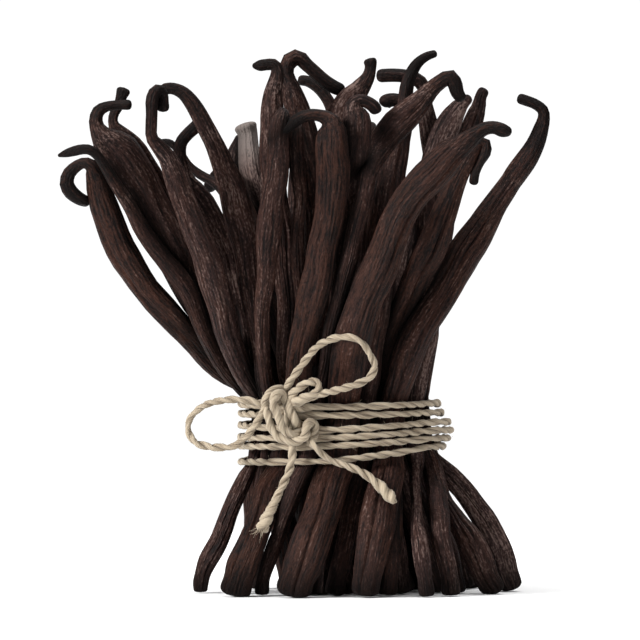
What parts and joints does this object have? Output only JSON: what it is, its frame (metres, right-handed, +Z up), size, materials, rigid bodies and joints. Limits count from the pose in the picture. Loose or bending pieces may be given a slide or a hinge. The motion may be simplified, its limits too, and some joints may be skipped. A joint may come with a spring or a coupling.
{
  "type": "bundle of vanilla pods",
  "caption": "Tied sheaf of dried vanilla pods that stands on its splayed feet, with curled stems on top and a rough twine bow round its waist.",
  "frame": {"origin": "on the surface the bundle stands on, under the middle of the tied waist", "axes": "+Z up along the bundle, -Y towards the side with the knot, +X to the right of the knot"},
  "size_m": [0.1529, 0.1089, 0.1694],
  "materials": {
    "pod_skin": "dark brown, oily and finely wrinkled lengthwise",
    "twine": "undyed two-ply plant fibre, matt and slightly hairy"
  },
  "bodies": {
    "root": {"pod_bundle": "pod_skin", "twine_wraps": "twine", "twine_knot": "twine", "twine_loop_left": "twine", "twine_loop_top": "twine", "twine_loop_small": "twine", "twine_tail_left": "twine", "twine_tail_right": "twine"}
  },
  "joints": []
}
